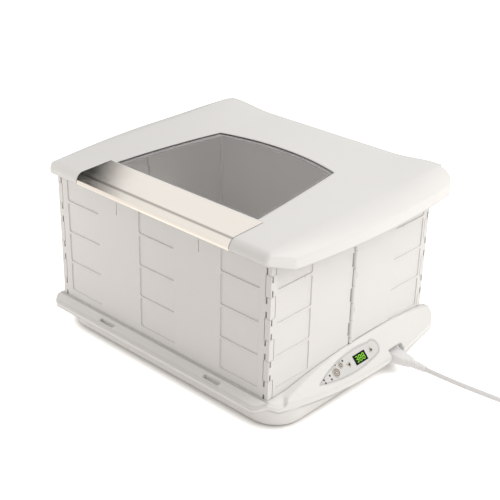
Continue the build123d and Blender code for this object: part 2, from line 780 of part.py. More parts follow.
pin_low, pin_high = wall_bottom + pin_end, wall_top - pin_end
for name, side in (("front_corner_pins", -1), ("rear_corner_pins", 1)):
    with BuildPart() as corner_pins:
        for end in (-1, 1):
            rod(pin_r, (end * corner_axis_x, side * corner_axis_y), pin_low, pin_high)
    keep(name, corner_pins.part)
for name, end in (("left_centre_pin", -1), ("right_centre_pin", 1)):
    with BuildPart() as centre_pin:
        rod(pin_r, (end * centre_axis_x, 0), centre_hinge_low, pin_high)
    keep(name, centre_pin.part)

# ---------------------------------------------------------------- lid
def lid_edge_x(y, inset=0.0):
    """Half width of the lid at a depth y: a shallow arc, widest behind the middle of the side."""
    radius = (lid_bow ** 2 + lid_bow_reach ** 2) / (2 * lid_bow)
    return lid_half_x - inset - radius + sqrt(radius ** 2 - (y - lid_bow_y) ** 2)


def lid_outline(inset=0.0):
    """Plan of the lid."""
    front_y, rear_y = lid_front_y + inset, lid_rear_y - inset
    front_corner = (lid_edge_x(lid_front_corner_y, inset), lid_front_corner_y)
    rear_corner = (lid_edge_x(lid_rear_corner_y, inset), lid_rear_corner_y)
    front_diagonal, rear_diagonal = lid_front_diagonal_x - inset / 2, lid_rear_diagonal_x - inset / 2
    with BuildSketch() as plan:
        with BuildLine():
            for end in (-1, 1):
                ThreePointArc((end * front_corner[0], front_corner[1]), (end * (lid_half_x - inset), lid_bow_y),
                              (end * rear_corner[0], rear_corner[1]))
                Line((end * front_corner[0], front_corner[1]), (end * front_diagonal, front_y))
                Line((end * rear_corner[0], rear_corner[1]), (end * rear_diagonal, rear_y))
            Line((-front_diagonal, front_y), (front_diagonal, front_y))
            Line((-rear_diagonal, rear_y), (rear_diagonal, rear_y))
        make_face()
        fillet(plan.vertices(), lid_corner_r)
    return plan.sketch


lid_roll_y = lid_front_y + lid_roll_r
top_arc_points = ((lid_roll_y, lid_top_front_z), (lid_top_mid_y, lid_top_mid_z), (lid_rear_y, lid_top_rear_z))
with BuildLine():
    top_arc = ThreePointArc(*top_arc_points)


def top_z(y):
    """Height of the lid's top on its centre line."""
    return top_arc.arc_center.Y + sqrt(top_arc.radius ** 2 - (y - top_arc.arc_center.X) ** 2)


def horn_share(y):
    """How far the lid's sides have turned into the raised rear corners at a depth y, from 0 to 1."""
    share = min(max((y - lid_horn_y[0]) / (lid_horn_y[1] - lid_horn_y[0]), 0), 1)
    return share * share * (3 - 2 * share)


def under_lid(drop):
    """Everything under the lid's curved top, from a given depth below its surface."""
    with BuildPart() as below:
        for index in range(lid_sections):
            y = lid_section_y[0] + index * (lid_section_y[1] - lid_section_y[0]) / (lid_sections - 1)
            high, peak = top_z(y) - drop, top_z(y) - drop + lid_horn * horn_share(y)
            shoulder, depth = lid_edge_x(y) - lid_shoulder_x, lid_fall + lid_horn_fall * horn_share(y)
            fall = [(lid_shoulder_x + share * shoulder, peak - depth * share ** 2) for share in lid_fall_shares]
            with BuildSketch(Plane.XZ.offset(-y)):
                with BuildLine():
                    Line((-lid_horn_x[0], high), (lid_horn_x[0], high))
                    for end in (-1, 1):
                        Spline((end * lid_horn_x[0], high), (end * lid_horn_x[1], peak),
                               (end * lid_shoulder_x, peak), tangents=((end, 0), (end, 0)))
                        ThreePointArc(*[(end * x, z) for x, z in fall])
                        Line((end * fall[2][0], fall[2][1]), (end * fall[2][0], 0))
                    Line((-fall[2][0], 0), (fall[2][0], 0))
                make_face()
        loft()
    return below.part


def lid_block(inset=0.0):
    """Everything under the lid's outer surface, or under the same surface set in by the wall."""
    with BuildPart() as block:
        add(under_lid(inset))
        with BuildSketch(Plane.XY.offset(lid_skirt_z - 1)):
            add(lid_outline(inset))
        extrude(amount=4 * lid_roll_r, mode=Mode.INTERSECT)
        with BuildSketch(Plane.YZ):
            roll_z = lid_top_front_z - lid_roll_r
            roll_mid = (lid_roll_r - inset) / sqrt(2)
            front, high = lid_front_y + inset, lid_top_mid_z + 2 * lid_roll_r
            with BuildLine():
                ThreePointArc((front, roll_z), (lid_roll_y - roll_mid, roll_z + roll_mid),
                              (lid_roll_y, lid_top_front_z - inset))
                Polyline((lid_roll_y, lid_top_front_z - inset), (lid_roll_y + lid_roll_r, high),
                         (2 * lid_rear_y, high), (2 * lid_rear_y, lid_skirt_z - 1), (front, lid_skirt_z - 1),
                         (front, roll_z))
            make_face()
        extrude(amount=lid_half_x + 1, both=True, mode=Mode.INTERSECT)
    return block.part


def window_plan(grow=0.0):
    """Outline of the window opening: narrower and bulged at the rear."""
    side_mid = ((window_front_x + window_rear_x) / 2 + window_side_bow, (window_front_y + window_rear_y) / 2)
    with BuildSketch() as plan:
        with BuildLine():
            Line((-window_front_x, window_front_y), (window_front_x, window_front_y))
            for end in (-1, 1):
                ThreePointArc((end * window_front_x, window_front_y), (end * side_mid[0], side_mid[1]),
                              (end * window_rear_x, window_rear_y))
            ThreePointArc((-window_rear_x, window_rear_y), (0, window_bulge_y), (window_rear_x, window_rear_y))
        make_face()
        if grow:
            offset(amount=grow, kind=Kind.INTERSECTION)
        fillet(plan.vertices(), window_corner_r)
    return plan.sketch


def lid_layer(outer, inner, drop, thickness):
    """A layer that follows the lid's arch, a given depth below its surface, between two outlines."""
    with BuildPart() as layer:
        with BuildSketch(Plane.YZ):
            with BuildLine():
                ends = [[(y, top_z(y) - depth) for y in (lid_roll_y, lid_top_mid_y, lid_rear_y)]
                        for depth in (drop, drop + thickness)]
                ThreePointArc(*ends[0])
                ThreePointArc(*ends[1])
                Line(ends[0][0], ends[1][0])
                Line(ends[0][2], ends[1][2])
            make_face()
        extrude(amount=lid_half_x, both=True)
        with BuildSketch(Plane.XY.offset(lid_skirt_z)):
            add(outer)
            if inner:
                add(inner, mode=Mode.SUBTRACT)
        extrude(amount=4 * lid_roll_r, mode=Mode.INTERSECT)
    return layer.part


def front_profile(inset, low_z):
    """Section of the lid's front: upright edge, roll and the first stretch of the top."""
    front_y, roll_z = lid_front_y + inset, lid_top_front_z - lid_roll_r
    roll_mid = (lid_roll_r - inset) / sqrt(2)
    mid_y = (lid_roll_y + trim_rear_y) / 2
    with BuildSketch() as profile:
        with BuildLine():
            Line((front_y, low_z), (front_y, roll_z))
            ThreePointArc((front_y, roll_z), (lid_roll_y - roll_mid, roll_z + roll_mid),
                          (lid_roll_y, lid_top_front_z - inset))
            ThreePointArc(*[(y, top_z(y) - inset) for y in (lid_roll_y, mid_y, trim_rear_y)])
            Polyline((trim_rear_y, top_z(trim_rear_y) - inset), (trim_rear_y, low_z), (front_y, low_z))
        make_face()
    return profile.sketch


with BuildPart() as lid_outside:
    add(lid_block())
    # the roll and the shoulder flow into each other over the cut corners
    fillet([edge for edge in lid_outside.edges() if edge.geom_type != GeomType.LINE
            and edge.center().Z > lid_front_z and edge.center().Y < lid_front_corner_y + lid_corner_r / 8
            and abs(edge.center().X) > lid_front_diagonal_x - lid_corner_r], lid_blend_r)
lid_solid = lid_outside.part
lid_inside = lid_block(lid_t)
lid_seat_z = wall_top + touch_gap
frame_drop = lid_t + frame_gap
with BuildPart() as seat_ribs:
    brick((-half_wall_x, -half_wall_y, lid_seat_z), (half_wall_x, half_wall_y, 2 * lid_top_front_z))
    brick((-half_wall_x + wall_t, -half_wall_y + wall_t, 0),
          (half_wall_x - wall_t, half_wall_y - wall_t, 2 * lid_top_front_z), Mode.SUBTRACT)
    add(lid_solid, mode=Mode.INTERSECT)

screw_path = window_plan(frame_lap / 2).wire()
screw_spots = [screw_path @ ((index + 0.5) / frame_screws) for index in range(frame_screws)]
with BuildPart() as lid_shell:
    add(lid_solid)
    add(lid_inside, mode=Mode.SUBTRACT)
    add(seat_ribs.part)
    # the front edge stands higher than the skirt
    with BuildSketch(Plane.YZ):
        with BuildLine():
            Polyline((2 * lid_front_y, 0), (2 * lid_front_y, lid_front_z), (lid_front_rise_y[0], lid_front_z),
                     (lid_front_rise_y[1], lid_skirt_z), (2 * lid_rear_y, lid_skirt_z), (2 * lid_rear_y, 0),
                     close=True)
        make_face()
    extrude(amount=2 * lid_half_x, both=True, mode=Mode.SUBTRACT)
    # window opening and the bed of the steel trim
    with BuildSketch(Plane.XY.offset(lid_skirt_z)):
        add(window_plan())
    extrude(amount=lid_skirt_z, mode=Mode.SUBTRACT)
    with BuildSketch(Plane.YZ):
        add(front_profile(-2 * trim_t, lid_front_z - gap))
        add(front_profile(trim_t + seat_clearance, lid_front_z - gap), mode=Mode.SUBTRACT)
    extrude(amount=trim_half_x + seat_clearance, both=True, mode=Mode.SUBTRACT)
    for spot in screw_spots:
        surface_z = top_z(spot.Y)
        rod(frame_screw_r, (spot.X, spot.Y), 0, surface_z - frame_drop + frame_screw_bite, Mode.SUBTRACT)
keep("lid_shell", lid_shell.part)

with BuildPart() as lid_trim_plate:
    with BuildSketch(Plane.YZ):
        add(front_profile(0, lid_front_z))
        add(front_profile(trim_t, lid_front_z), mode=Mode.SUBTRACT)
    extrude(amount=trim_half_x, both=True)
keep("lid_trim_plate", lid_trim_plate.part)

window_gasket = lid_layer(window_plan(-seat_clearance), window_plan(-gasket_t), gasket_drop,
                          window_drop + window_t - gasket_drop)
keep("window_gasket", window_gasket)

lid_window = lid_layer(window_plan(-gasket_t - seat_clearance), None, window_drop, window_t)
keep("lid_window", lid_window)

window_ring = lid_layer(window_plan(frame_lap), window_plan(-gasket_t - frame_lip), frame_drop, frame_t)
with BuildPart() as window_frame:
    add(window_ring)
    for spot in screw_spots:
        rod(frame_screw_r + seat_clearance, (spot.X, spot.Y), 0, 2 * lid_top_mid_z, Mode.SUBTRACT)
keep("window_frame", window_frame.part)

with BuildPart() as window_screws:
    for spot in screw_spots:
        under_z = top_z(spot.Y) - frame_drop - frame_t - head_gap
        rod(frame_screw_head_r, (spot.X, spot.Y), under_z - frame_screw_head_t, under_z)
        rod(frame_screw_r - seat_clearance, (spot.X, spot.Y), under_z,
            under_z + frame_t + frame_screw_bite - seat_clearance)
keep("window_screws", window_screws.part)

# ---------------------------------------------------------------- control panel
def on_panel(sketch, high, low):
    """A sketch on the slope, filled between two heights above the shell's surface."""
    with BuildPart() as layer:
        with BuildSketch(panel_plane.offset(high)):
            add(sketch)
        extrude(amount=low - high)
    return layer.part


with BuildSketch() as display_plan:
    with Locations((display_place[0], -display_place[1])):
        Rectangle(*display_size)

with BuildSketch() as overlay_plan:
    add(leaf())
    for name in keys:
        add(key_plan(name, gap), mode=Mode.SUBTRACT)
    offset_display = offset(display_plan.sketch, amount=gap / 2, mode=Mode.PRIVATE)
    add(offset_display, mode=Mode.SUBTRACT)
    with Locations(*lamp_points):
        Circle(lamp_r + gap / 2, mode=Mode.SUBTRACT)
keep("control_overlay", on_panel(overlay_plan.sketch, 0, -overlay_t))

with BuildSketch() as digits_plan:
    for index, digit in enumerate(shown_digits):
        middle_y = display_place[0] + (index - (len(shown_digits) - 1) / 2) * digit_pitch
        for name in digit_bars[digit]:
            across, up = bar_places[name]
            lying = across == 0
            with Locations((middle_y + across * digit_width / 2, -display_place[1] + up * digit_height / 4)):
                if lying:
                    Rectangle(digit_width - segment_t - segment_gap, segment_t)
                else:
                    Rectangle(segment_t, digit_height / 2 - segment_gap)
keep("display_digits", on_panel(digits_plan.sketch, 0, -digit_depth))

with BuildPart() as display_lens:
    add(on_panel(display_plan.sketch, 0, -board_depth))
    add(on_panel(digits_plan.sketch, 0, -digit_depth), mode=Mode.SUBTRACT)
keep("display_lens", display_lens.part)

with BuildSketch() as lamps_plan:
    with Locations(*lamp_points):
        Circle(lamp_r)
keep("indicator_lamps", on_panel(lamps_plan.sketch, 0, -board_depth))

switch_top = -board_depth + switch_t + plunger_t
key_low = switch_top + key_travel + gap / 3
rim_top = -overlay_t - gap / 3
for name, (place, radius, bearing) in keys.items():
    with BuildPart() as key:
        add(on_panel(key_plan(name), key_proud, rim_top))
        add(on_panel(key_plan(name, key_rim), rim_top, rim_top - key_rim_t))
        with BuildSketch(panel_plane.offset(rim_top - key_rim_t)):
            with Locations((place[0], -place[1])):
                Circle(key_stem_r)
        extrude(amount=key_low - rim_top + key_rim_t)
    keep(name, key.part)

with BuildPart() as control_board:
    with BuildSketch(panel_plane.offset(-board_depth)):
        with Locations(((board_low[0] + board_high[0]) / 2, -(board_low[1] + board_high[1]) / 2)):
            Rectangle(board_high[0] - board_low[0], board_high[1] - board_low[1])
    extrude(amount=-board_t)
    with BuildSketch(panel_plane.offset(-board_depth)):
        with Locations(*[(y, -s) for y, s in standoff_places]):
            Circle(standoff_r)
    extrude(amount=board_depth - skin)
keep("control_board", control_board.part)

with BuildPart() as tact_switches:
    spots = [(place[0], -place[1]) for place, radius, bearing in keys.values()]
    with BuildSketch(panel_plane.offset(-board_depth)):
        with Locations(*spots):
            Rectangle(switch_size, switch_size)
    extrude(amount=switch_t)
    with BuildSketch(panel_plane.offset(-board_depth + switch_t)):
        with Locations(*spots):
            Circle(plunger_r)
    extrude(amount=plunger_t)
keep("tact_switches", tact_switches.part)

with BuildPart() as power_board:
    board_top = power_board_z + power_board_t
    board_mid_x = (power_board_low[0] + power_board_high[0]) / 2
    brick((*power_board_low, power_board_z), (*power_board_high, board_top))
    for y in (power_board_low[1] + 2 * standoff_r, power_board_high[1] - 2 * standoff_r):
        rod(standoff_r, (board_mid_x, y), pan_top_z, power_board_z)
    for (size_x, size_y, size_z), y in ((transformer_size, transformer_y), (relay_size, relay_y)):
        brick((board_mid_x - size_x / 2, y - size_y / 2, board_top), (board_mid_x + size_x / 2, y + size_y / 2,
              board_top + size_z))
    rod(capacitor_r, (board_mid_x, capacitor_y), board_top, board_top + capacitor_height)
keep("power_board", power_board.part)

# ---------------------------------------------------------------- inlet and connector
socket_back_x = inlet_face_x - socket_depth
prong_places = [inlet_y + index * prong_pitch for index in (-1, 0, 1)]


def prong(y, clearance=0.0, mode=Mode.ADD):
    """One blade of the inlet, or the slot that takes it."""
    brick((socket_back_x, y - prong_size[1] / 2 - clearance, plug_z - prong_size[2] / 2 - clearance),
          (socket_back_x + prong_size[0] + clearance, y + prong_size[1] / 2 + clearance,
           plug_z + prong_size[2] / 2 + clearance), mode)


with BuildPart() as power_inlet:
    brick((inlet_back_x, inlet_y - inlet_half_y, inlet_low_z),
          (inlet_face_x, inlet_y + inlet_half_y, inlet_high_z))
    brick((socket_back_x, inlet_y - socket_y, socket_z[0]), (inlet_face_x, inlet_y + socket_y, socket_z[1]),
          Mode.SUBTRACT)
keep("power_inlet", power_inlet.part)

with BuildPart() as inlet_prongs:
    for y in prong_places:
        prong(y)
keep("inlet_prongs", inlet_prongs.part)


def cord_plane(x):
    """Plane across the cord's axis at the inlet."""
    return Plane(origin=(x, inlet_y, plug_z), x_dir=(0, 1, 0), z_dir=(1, 0, 0))


connector_x = inlet_face_x + gap
collar_x = connector_x + connector_length
relief_x = collar_x + collar_length
relief_end_x = relief_x + relief_length
with BuildPart() as cord_connector:
    nose_x = inlet_face_x - nose_size[0]
    brick((nose_x, inlet_y - nose_size[1] / 2, plug_z - nose_size[2] / 2),
          (connector_x, inlet_y + nose_size[1] / 2, plug_z + nose_size[2] / 2))
    for x, (size_y, size_z) in ((connector_x, connector_start), (collar_x, connector_end)):
        with BuildSketch(cord_plane(x)):
            RectangleRounded(size_y, size_z, connector_edge_r)
    loft()
    with BuildSketch(cord_plane(collar_x)):
        RectangleRounded(*collar_size, connector_edge_r)
    extrude(amount=collar_length)
    for y in prong_places:
        prong(y, gap, Mode.SUBTRACT)
keep("cord_connector", cord_connector.part)

with BuildPart() as cord_strain_relief:
    for x, radius in ((relief_x, relief_r[0]), (relief_end_x, relief_r[1])):
        with BuildSketch(cord_plane(x)):
            Circle(radius)
    loft()
    for index in range(relief_ribs):
        share = (index + 1) / (relief_ribs + 1)
        groove_r = relief_r[0] + share * (relief_r[1] - relief_r[0])
        with Locations(Location((relief_x + share * relief_length, inlet_y, plug_z), (0, 90, 0))):
            Torus(groove_r, relief_groove_r, mode=Mode.SUBTRACT)
keep("cord_strain_relief", cord_strain_relief.part)

# ---------------------------------------------------------------- cord, coil and mains plug
def on_coil(bearing, z):
    """Point of the ring's middle line."""
    return (coil_centre[0] + coil_r * cos(radians(bearing)), coil_centre[1] + coil_r * sin(radians(bearing)), z)


def cord_tube(name, points):
    """Cord along a route, with each bend as wide as its runs allow."""
    radii = []
    for before, corner, after in zip(points, points[1:], points[2:]):
        run_in, run_out = Vector(*corner) - Vector(*before), Vector(*after) - Vector(*corner)
        turn = radians(run_in.get_angle(run_out))
        radii.append(bend_share * min(run_in.length, run_out.length) / tan(turn / 2))
    with BuildPart() as tube:
        with BuildLine() as route:
            FilletPolyline(*points, radius=radii)
        with BuildSketch(Plane(origin=route.line @ 0, z_dir=route.line % 0)):
            Circle(cord_r)
        sweep()
    length = route.wire().length
    print(name, "bends", [round(radius) for radius in radii], "length", round(length, 1),
          "volume ratio", round(tube.part.volume / (pi * cord_r ** 2 * length), 4))
    keep(name, tube.part)


coil_mid_z = tie_t + coil_height / 2
cord_tube("power_cord", [(relief_end_x, inlet_y, plug_z), *cord_route, on_coil(coil_entry, cord_z)])

with BuildPart() as cord_coil:
    with BuildSketch(Plane.XZ.offset(-coil_centre[1])):
        with Locations((coil_centre[0] + coil_r, coil_mid_z)):
            RectangleRounded(coil_width, coil_height, coil_edge_r)
    revolve(axis=Axis((*coil_centre, 0), (0, 0, 1)))
keep("cord_coil", cord_coil.part)

tie_heading = (-sin(radians(tie_bearing)), cos(radians(tie_bearing)), 0)
with BuildPart() as coil_tie:
    with BuildSketch(Plane(origin=on_coil(tie_bearing, coil_mid_z), x_dir=(0, 0, 1), z_dir=tie_heading)):
        RectangleRounded(coil_height + 2 * tie_t, coil_width + 2 * tie_t + gap, coil_edge_r)
        RectangleRounded(coil_height + gap / 2, coil_width + gap, coil_edge_r, mode=Mode.SUBTRACT)
    extrude(amount=tie_width / 2, both=True)
keep("coil_tie", coil_tie.part)

cord_tube("plug_lead", [on_coil(coil_exit, lead_z), *lead_route, mains_plug_end])

plug_heading = (cos(radians(mains_plug_bearing)), sin(radians(mains_plug_bearing)), 0)
plug_plane = Plane(origin=mains_plug_end, x_dir=(-plug_heading[1], plug_heading[0], 0), z_dir=plug_heading)
with BuildPart() as mains_plug:
    with BuildSketch(plug_plane):
        RectangleRounded(*mains_plug_neck, mains_plug_edge_r)
    with BuildSketch(plug_plane.offset(mains_plug_taper)):
        RectangleRounded(*mains_plug_size, mains_plug_edge_r)
    loft()
    with BuildSketch(plug_plane.offset(mains_plug_taper)):
        RectangleRounded(*mains_plug_size, mains_plug_edge_r)
    extrude(amount=mains_plug_length)
keep("mains_plug", mains_plug.part)

with BuildPart() as plug_blades:
    with BuildSketch(plug_plane.offset(mains_plug_taper + mains_plug_length)):
        with Locations((-blade_x, blade_y), (blade_x, blade_y)):
            Rectangle(blade_size[0], blade_size[1])
        with Locations((0, ground_y)):
            Circle(ground_r)
    extrude(amount=blade_size[2])
keep("plug_blades", plug_blades.part)
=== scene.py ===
"""Finishes of the folding dough proofer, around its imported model."""
from math import cos, radians, sin

import bpy
from mathutils import Matrix, Vector


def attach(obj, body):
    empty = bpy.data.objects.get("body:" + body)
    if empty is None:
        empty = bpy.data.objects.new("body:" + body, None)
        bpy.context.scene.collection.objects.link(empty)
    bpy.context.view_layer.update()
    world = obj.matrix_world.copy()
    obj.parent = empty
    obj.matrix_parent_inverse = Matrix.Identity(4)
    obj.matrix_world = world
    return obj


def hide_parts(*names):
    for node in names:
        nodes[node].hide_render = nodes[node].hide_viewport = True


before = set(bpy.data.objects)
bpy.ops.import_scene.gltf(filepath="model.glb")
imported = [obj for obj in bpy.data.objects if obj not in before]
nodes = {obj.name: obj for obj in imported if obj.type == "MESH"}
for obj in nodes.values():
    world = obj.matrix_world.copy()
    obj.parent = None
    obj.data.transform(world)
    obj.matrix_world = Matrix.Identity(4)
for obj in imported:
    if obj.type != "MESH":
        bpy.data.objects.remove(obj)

scene = bpy.context.scene
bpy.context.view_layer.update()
mm = 0.001
bpy.ops.object.select_all(action="DESELECT")

# ---- Camera ----------------------------------------------------------------------------------
# A long lens above the front right corner. Its place is in metres, in the model's own frame,
# and its heading is a bearing round the model, a height above the horizon and a slight roll.
camera_place = Vector((0.924, -1.003, 0.812))
camera_bearing = radians(42.17)
camera_height = radians(26.53)
camera_roll = radians(1.37)
camera_lens = 77.93
camera_reach = 50

back = Vector((sin(camera_bearing) * cos(camera_height), -cos(camera_bearing) * cos(camera_height),
               sin(camera_height)))
level = Vector((cos(camera_bearing), sin(camera_bearing), 0))
upright = back.cross(level)
across = cos(camera_roll) * level + sin(camera_roll) * upright
upward = cos(camera_roll) * upright - sin(camera_roll) * level
camera_data = bpy.data.cameras.new("camera")
camera_data.lens = camera_lens
camera_data.clip_end = camera_reach
camera = bpy.data.objects.new("camera", camera_data)
camera.matrix_world = Matrix.Translation(camera_place) @ Matrix((across, upward, back)).transposed().to_4x4()
scene.collection.objects.link(camera)
scene.camera = camera

# ---- Floor -----------------------------------------------------------------------------------
# A white table. It throws light back at the model from below, more on the side of the lamp, and to
# the eye it glows wherever nothing stands over it, so that it reads white with a tight shadow at
# the foot of the model.
scene.view_settings.view_transform = "Standard"
floor_size = 14.0
floor_colour = (0.80, 0.79, 0.775, 1)
floor_roughness = 0.9
floor_glow = 0.95
mirror_share = 0.25              # of the glow that metal mirrors
shadow_reach = 0.026
shadow_samples = 16
shadow_range = (0.25, 0.85)      # how open the sky is where the glow starts and where it is full
bounce_colour = (1.0, 0.95, 0.91, 1)
bounce_heading = (0.8, 0.6, 0.0)
bounce_reach = (0.05, 0.35)      # along that heading
floor_bounce = (0.22, 0.43)      # in front, and on the lamp's side


def shader(tree, kind, **values):
    """A new shader node with some of its sockets set."""
    node = tree.nodes.new(kind)
    for name, value in values.items():
        node.inputs[name.replace("_", " ")].default_value = value
    return node


def maths(tree, operation, a, b=None, clamp=False):
    """A maths node between sockets or plain numbers; returns its output socket."""
    node = tree.nodes.new("ShaderNodeMath")
    node.operation = operation
    node.use_clamp = clamp
    for slot, value in enumerate((a, b)):
        if isinstance(value, bpy.types.NodeSocket):
            tree.links.new(value, node.inputs[slot])
        elif value is not None:
            node.inputs[slot].default_value = value
    return node.outputs[0]


def ramp(tree, value, reach, ends=(0.0, 1.0), kind="SMOOTHSTEP"):
    """A value that goes between two ends while another crosses its reach; returns its socket."""
    node = shader(tree, "ShaderNodeMapRange", From_Min=reach[0], From_Max=reach[1], To_Min=ends[0],
                  To_Max=ends[1])
    node.interpolation_type = kind
    tree.links.new(value, node.inputs["Value"])
    return node.outputs[0]


def either(tree, factor, first, second):
    """The first shader where the factor is 0 and the second where it is 1; returns its socket."""
    node = tree.nodes.new("ShaderNodeMixShader")
    for slot, socket in enumerate((factor, first, second)):
        tree.links.new(socket, node.inputs[slot])
    return node.outputs[0]


floor_material = bpy.data.materials.new("table_white")
floor_material.use_nodes = True
tree = floor_material.node_tree
matte = tree.nodes["Principled BSDF"]
matte.inputs["Base Color"].default_value = floor_colour
matte.inputs["Roughness"].default_value = floor_roughness
matte.inputs["Specular IOR Level"].default_value = 0.0
open_sky = shader(tree, "ShaderNodeAmbientOcclusion", Distance=shadow_reach)
open_sky.samples = shadow_samples
glow = shader(tree, "ShaderNodeEmission")
tree.links.new(ramp(tree, open_sky.outputs["AO"], shadow_range, (0.0, floor_glow)), glow.inputs["Strength"])
place = tree.nodes.new("ShaderNodeTexCoord")
lamp_side = tree.nodes.new("ShaderNodeVectorMath")
lamp_side.operation = "DOT_PRODUCT"
lamp_side.inputs[1].default_value = bounce_heading
tree.links.new(place.outputs["Object"], lamp_side.inputs[0])
bounce = shader(tree, "ShaderNodeEmission", Color=bounce_colour)
tree.links.new(ramp(tree, lamp_side.outputs["Value"], bounce_reach, floor_bounce, "LINEAR"),
               bounce.inputs["Strength"])
path = tree.nodes.new("ShaderNodeLightPath")
in_metal = maths(tree, "MULTIPLY", path.outputs["Is Glossy Ray"], mirror_share)
shown = maths(tree, "MAXIMUM", path.outputs["Is Camera Ray"], in_metal)
shown = maths(tree, "MAXIMUM", shown, path.outputs["Is Transmission Ray"])
both = tree.nodes.new("ShaderNodeAddShader")
tree.links.new(matte.outputs[0], both.inputs[0])
tree.links.new(either(tree, shown, bounce.outputs[0], glow.outputs[0]), both.inputs[1])
tree.links.new(both.outputs[0], tree.nodes["Material Output"].inputs["Surface"])
bpy.ops.mesh.primitive_plane_add(size=floor_size, location=(0, 0, 0))
table = bpy.context.object
table.name = "table"
table.data.materials.append(floor_material)

# ---- Sky and lamps ---------------------------------------------------------------------------
# An even white sky, warmer and dimmer in front, with one large soft lamp high behind the control
# side and a weak fill near the left end of the front. What polished metal mirrors of the sky has a
# dark doorway on the left and a dim gap overhead.
sky_strength = 0.76
sky_front = (0.59, 0.545, 0.52, 1)
sky_rear = (1.0, 0.985, 0.96, 1)
front_reach = (-1.0, 0.2)
door_reach = (-0.719, -0.698)
door_light = (0.02, 1.22)
beyond_reach = (-0.84, -0.75)
beyond_light = (0.80, 0.0)
overhead_gap_y = 0.10
gap_reach = (0.05, 0.36)
gap_light = (0.50, 1.0)
white = (1, 1, 1, 1)
lamp_heading = Vector((0.60, 0.24, 0.76)).normalized()
lamp_distance = 2.2
lamp_target = Vector((0, 0, 0))
lamp_size = 1.5
lamp_power = 14.8
lamp_colour = (1.0, 0.98, 0.955)
fill_place = Vector((-0.48, -0.46, 0.26))
fill_target = Vector((-0.20, -0.16, 0.12))
fill_size = 0.25
fill_power = 0.50


def blend_colour(tree, factor, a, b, blend="MIX"):
    """Mix of two colours, each a socket or a plain colour; returns its output socket."""
    node = tree.nodes.new("ShaderNodeMix")
    node.data_type = "RGBA"
    node.blend_type = blend
    for slot, value in ((0, factor), (6, a), (7, b)):
        if isinstance(value, bpy.types.NodeSocket):
            tree.links.new(value, node.inputs[slot])
        else:
            node.inputs[slot].default_value = value
    return node.outputs[2]


world = bpy.data.worlds.new("sky")
scene.world = world
world.use_nodes = True
tree = world.node_tree
heading = tree.nodes.new("ShaderNodeTexCoord")
split = tree.nodes.new("ShaderNodeSeparateXYZ")
tree.links.new(heading.outputs["Generated"], split.inputs[0])
sky = tree.nodes["Background"]
sky.inputs["Strength"].default_value = sky_strength
rearward = ramp(tree, split.outputs["Y"], front_reach, kind="LINEAR")
tree.links.new(blend_colour(tree, rearward, sky_front, sky_rear), sky.inputs["Color"])
door = maths(tree, "MAXIMUM", ramp(tree, split.outputs["X"], door_reach, door_light),
             ramp(tree, split.outputs["X"], beyond_reach, beyond_light))
off_gap = maths(tree, "ABSOLUTE", maths(tree, "SUBTRACT", split.outputs["Y"], overhead_gap_y))
mirrored = shader(tree, "ShaderNodeBackground")
tree.links.new(maths(tree, "MULTIPLY", door, ramp(tree, off_gap, gap_reach, gap_light)),
               mirrored.inputs["Strength"])
plain = shader(tree, "ShaderNodeBackground", Color=white)
path = tree.nodes.new("ShaderNodeLightPath")
seen = maths(tree, "MAXIMUM", path.outputs["Is Camera Ray"], path.outputs["Is Transmission Ray"])
unseen = either(tree, path.outputs["Is Glossy Ray"], sky.outputs[0], mirrored.outputs[0])
tree.links.new(either(tree, seen, unseen, plain.outputs[0]), tree.nodes["World Output"].inputs["Surface"])

for name, place, target, size, power in (
        ("lamp", lamp_heading * lamp_distance, lamp_target, lamp_size, lamp_power),
        ("left_fill", fill_place, fill_target, fill_size, fill_power)):
    lamp_data = bpy.data.lights.new(name, "AREA")
    lamp_data.size = size
    lamp_data.energy = power
    lamp_data.color = lamp_colour
    lamp = bpy.data.objects.new(name, lamp_data)
    lamp.location = place
    lamp.rotation_euler = (place - target).to_track_quat("Z", "Y").to_euler()
    lamp.visible_glossy = name == "lamp"
    lamp.visible_camera = False
    scene.collection.objects.link(lamp)

# ---- Moulded plastic -------------------------------------------------------------------------
# Most of the box is injection-moulded: a fine grain from the tool, a slow drift in tone where
# the melt flowed, and a faint film of flour dust and handling on the faces that look up.
flow_scale = 7.0
flow_gloss = 0.12                # how far the roughness drifts with the flow
speck_scale = 160.0
dust_colour = (0.80, 0.78, 0.74, 1)
dust_cover = 0.5
grain_height = 0.1
# The dark colour that the painted shade in seams and slots goes towards.
painted_shade_colour = (0.085, 0.065, 0.055, 1)
seam_samples = 8
edge_samples = 6


def new_group(name, inputs, outputs):
    """An empty shader node group with named sockets; returns it with its input and output nodes."""
    group = bpy.data.node_groups.new(name, "ShaderNodeTree")
    for socket, kind, default in inputs:
        entry = group.interface.new_socket(socket, in_out="INPUT", socket_type="NodeSocket" + kind)
        if default is not None:
            entry.default_value = default
    for socket, kind in outputs:
        group.interface.new_socket(socket, in_out="OUTPUT", socket_type="NodeSocket" + kind)
    return group, group.nodes.new("NodeGroupInput"), group.nodes.new("NodeGroupOutput")


def use_group(tree, group, **values):
    """A node group placed in a material, with its own values."""
    node = tree.nodes.new("ShaderNodeGroup")
    node.node_tree = group
    for name, value in values.items():
        node.inputs[name].default_value = value
    return node


def noise(tree, vector, scale, detail=2.0, roughness=0.5):
    """A noise texture on a vector; scale may be a socket. Returns its output socket."""
    node = shader(tree, "ShaderNodeTexNoise", Detail=detail, Roughness=roughness)
    tree.links.new(vector, node.inputs["Vector"])
    if isinstance(scale, bpy.types.NodeSocket):
        tree.links.new(scale, node.inputs["Scale"])
    else:
        node.inputs["Scale"].default_value = scale
    return node.outputs["Fac"]


